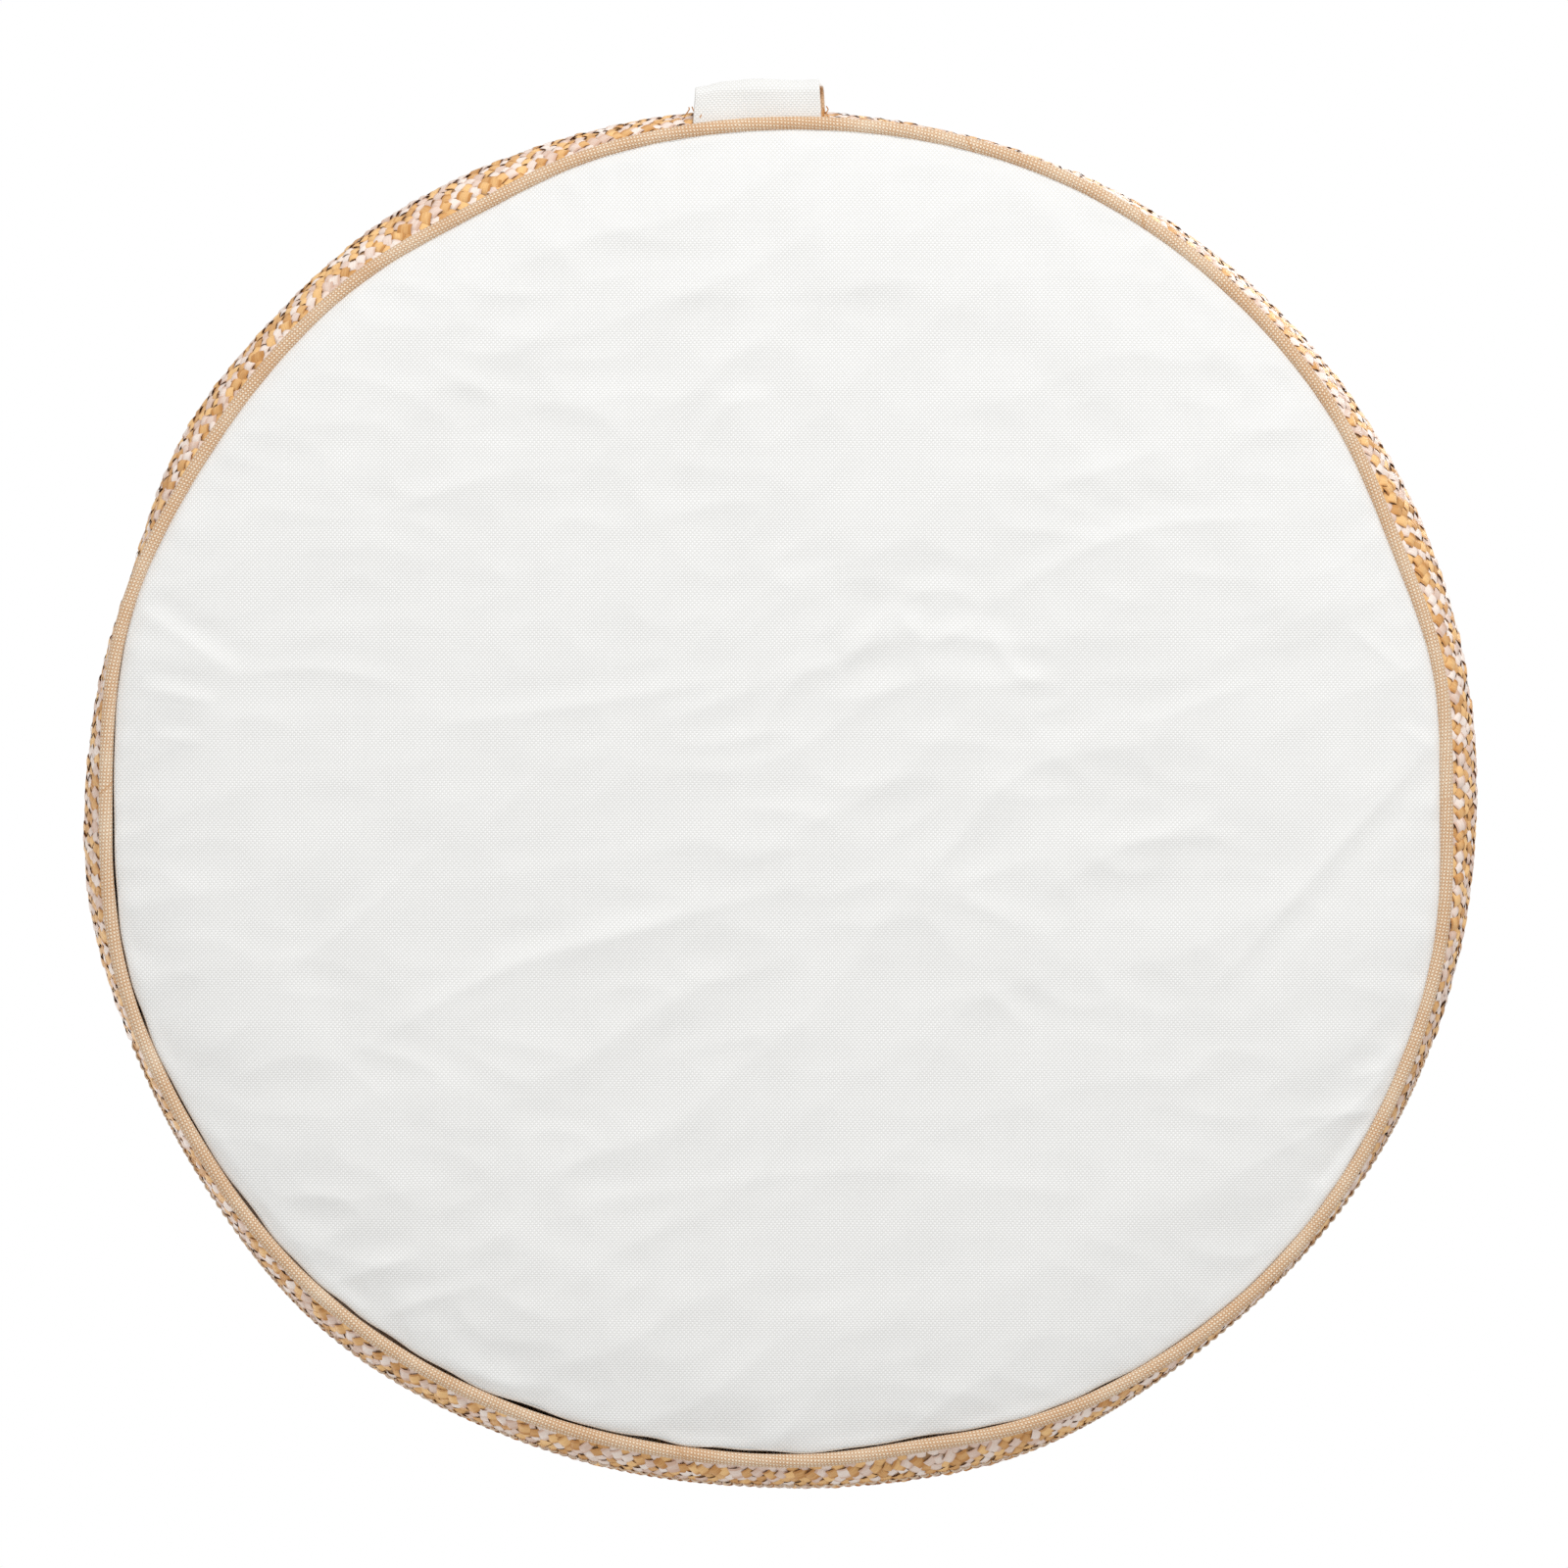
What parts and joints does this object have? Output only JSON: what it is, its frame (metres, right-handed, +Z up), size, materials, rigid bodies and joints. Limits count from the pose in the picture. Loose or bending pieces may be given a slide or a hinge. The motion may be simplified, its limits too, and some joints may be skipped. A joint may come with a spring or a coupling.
{
  "type": "chair seat pad",
  "caption": "Round boxed seat pad with a canvas underside, piped edges, a chunky woven side band, a sewn carrying loop and a zip in the back of the band.",
  "frame": {"origin": "centre of the flat underside, on the surface that the pad lies on", "axes": "+Z up out of the seat face, -Y towards the carrying loop, +Y towards the middle of the zip"},
  "size_m": [0.3992, 0.4054, 0.052],
  "materials": {
    "canvas": "off-white plain-weave canvas, about 17 by 15 threads per cm",
    "woven_textile": "chunky loom-woven textile of flat tape yarn in gold and pale blush over a dark brown ground",
    "piping_canvas": "beige plain-weave canvas cut on the bias",
    "cotton_cord": "soft twisted cotton piping cord",
    "zip_tape": "woven polyester tape, beige",
    "nylon_coil": "spiral nylon coil, beige",
    "zip_metal": "die-cast zinc with an antique brass plating",
    "sewing_thread": "spun polyester thread, natural",
    "insert_cotton": "light bleached cotton",
    "polyester_fibre": "hollow polyester fibre wrap",
    "foam": "flexible polyurethane foam"
  },
  "bodies": {
    "pad": {"underside_panel": "canvas", "seat_panel": "woven_textile", "front_band": "woven_textile", "zip_band_lower": "woven_textile", "zip_band_upper": "woven_textile", "lower_piping_cover": "piping_canvas", "upper_piping_cover": "piping_canvas", "lower_piping_cord": "cotton_cord", "upper_piping_cord": "cotton_cord", "strap_loop": "canvas", "zip_tape_lower": "zip_tape", "zip_tape_upper": "zip_tape", "zip_coil_lower": "nylon_coil", "zip_coil_upper": "nylon_coil", "zip_end_stops": "zip_metal", "zip_topstitching": "sewing_thread", "lower_seam_thread": "sewing_thread", "upper_seam_thread": "sewing_thread", "insert_case": "insert_cotton", "fibre_wrap": "polyester_fibre", "foam_core": "foam"},
    "slider": {"zip_slider": "zip_metal"},
    "pull": {"zip_pull": "zip_metal"}
  },
  "joints": [
    {"name": "slider_travel", "type": "hinge", "parent": "pad", "child": "slider", "pos_m": [0, 0, 0.025], "axis": [0, 0, -1], "range_deg": [0, 127.8]},
    {"name": "pull_flip", "type": "hinge", "parent": "slider", "child": "pull", "pos_m": [-0.17831, 0.08735, 0.025], "axis": [0, 0, 1], "range_deg": [0, 180]}
  ]
}
